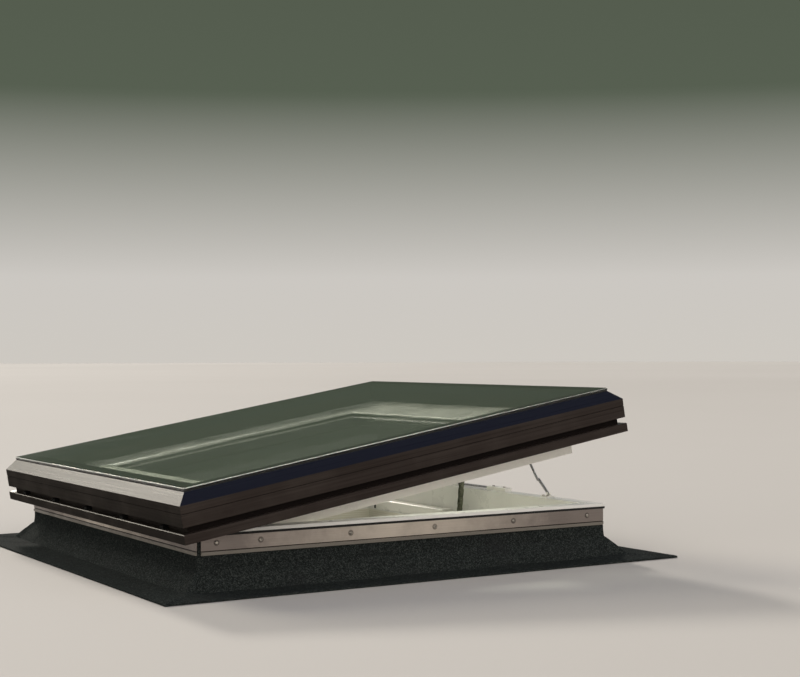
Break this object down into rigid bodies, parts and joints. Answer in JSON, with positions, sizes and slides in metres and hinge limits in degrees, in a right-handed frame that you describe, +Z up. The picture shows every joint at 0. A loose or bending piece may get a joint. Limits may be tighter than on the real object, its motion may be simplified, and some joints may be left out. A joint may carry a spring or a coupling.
{
  "type": "opening roof skylight",
  "caption": "Square flat-roof skylight on a felt-clad upstand: a glazed sash in a dark frame, hinged on one side, held open by a chain actuator.",
  "frame": {"origin": "middle of the roof flange's footprint, at roof level", "axes": "+Z up, +X from the hinge side to the opening side, +Y along the hinge axis"},
  "size_m": [1.474, 1.474, 0.4557],
  "materials": {
    "timber": "sawn softwood, primed white",
    "cant_board": "fibre board",
    "mineral_felt": "slate granules in bitumen",
    "strip_aluminium": "mill finish, brushed lengthwise",
    "screw_steel": "plain zinc",
    "fitting_steel": "zinc plated sheet",
    "chain_steel": "oiled dark steel",
    "white_frame": "satin off-white plastic",
    "white_fitting": "satin white",
    "dark_coating": "dark brown-grey powder coat, satin",
    "dark_plastic": "matt moulding",
    "seal_rubber": "matt seal rubber",
    "clear_glass": "clear float glass",
    "border_enamel": "black enamel burnt on the glass",
    "spacer_metal": "dull spacer bar"
  },
  "bodies": {
    "frame": {"actuator_end_cap": "dark_plastic", "actuator_head": "dark_plastic", "actuator_housing": "white_fitting", "actuator_mount_blocks": "white_fitting", "clamp_strip_back": "strip_aluminium", "clamp_strip_front": "strip_aluminium", "clamp_strip_left": "strip_aluminium", "clamp_strip_right": "strip_aluminium", "fixed_frame_back": "white_frame", "fixed_frame_front": "white_frame", "fixed_frame_left": "white_frame", "fixed_frame_right": "white_frame", "hinge_frame_leaf_back": "fitting_steel", "hinge_frame_leaf_front": "fitting_steel", "kerb_timber_back": "timber", "kerb_timber_front": "timber", "kerb_timber_left": "timber", "kerb_timber_right": "timber", "cant_strips": "cant_board", "felt_flashing": "mineral_felt", "strip_screws": "screw_steel", "ledge_screws": "screw_steel", "strike_screws": "screw_steel", "rim_screws": "screw_steel", "hinge_pins": "screw_steel", "rim_gasket": "seal_rubber", "strike_blocks": "white_fitting", "strike_bar": "fitting_steel", "drive_chain": "chain_steel", "stay_base": "white_fitting"},
    "sash": {"chain_bracket": "fitting_steel", "cover_glass": "clear_glass", "cover_profile_back": "dark_coating", "cover_profile_front": "dark_coating", "cover_profile_left": "dark_coating", "cover_profile_right": "dark_coating", "cover_seal": "seal_rubber", "flange_screws": "screw_steel", "glass_border": "border_enamel", "glazing_beads": "white_frame", "glazing_gasket": "seal_rubber", "hinge_sash_leaf_back": "fitting_steel", "hinge_sash_leaf_front": "fitting_steel", "inner_pane": "clear_glass", "outer_pane": "clear_glass", "pane_spacer": "spacer_metal", "sash_fitting_screws": "screw_steel", "sash_rail_back": "white_frame", "sash_rail_front": "white_frame", "sash_rail_left": "white_frame", "sash_rail_right": "white_frame", "sash_seal": "seal_rubber", "skirt_profile_back": "dark_coating", "skirt_profile_front": "dark_coating", "skirt_profile_left": "dark_coating", "skirt_profile_right": "dark_coating", "stay_hook": "fitting_steel", "weep_blocks": "dark_plastic"},
    "lower_link": {"stay_lower_link": "fitting_steel"},
    "upper_link": {"stay_upper_link": "fitting_steel"}
  },
  "joints": [
    {"name": "sash_hinge", "type": "hinge", "parent": "frame", "child": "sash", "pos_m": [-0.6226, 0, 0.1275], "axis": [0, -1, 0], "range_deg": [-9.71, 0], "deforming": ["drive_chain"]},
    {"name": "stay_lower_pivot", "type": "hinge", "parent": "frame", "child": "lower_link", "pos_m": [0.586, -0.362, 0.151], "axis": [1, 0, 0], "range_deg": [0, 140]},
    {"name": "stay_upper_pivot", "type": "hinge", "parent": "sash", "child": "upper_link", "pos_m": [0.55316, -0.22585, 0.35259], "axis": [0.9857, 0, 0.1687], "range_deg": [-60.97, 0]}
  ],
  "couplings": [
    {"joint": "stay_lower_pivot", "follows": "sash_hinge", "ratio": -14.414},
    {"joint": "stay_upper_pivot", "follows": "sash_hinge", "ratio": 6.2767}
  ]
}
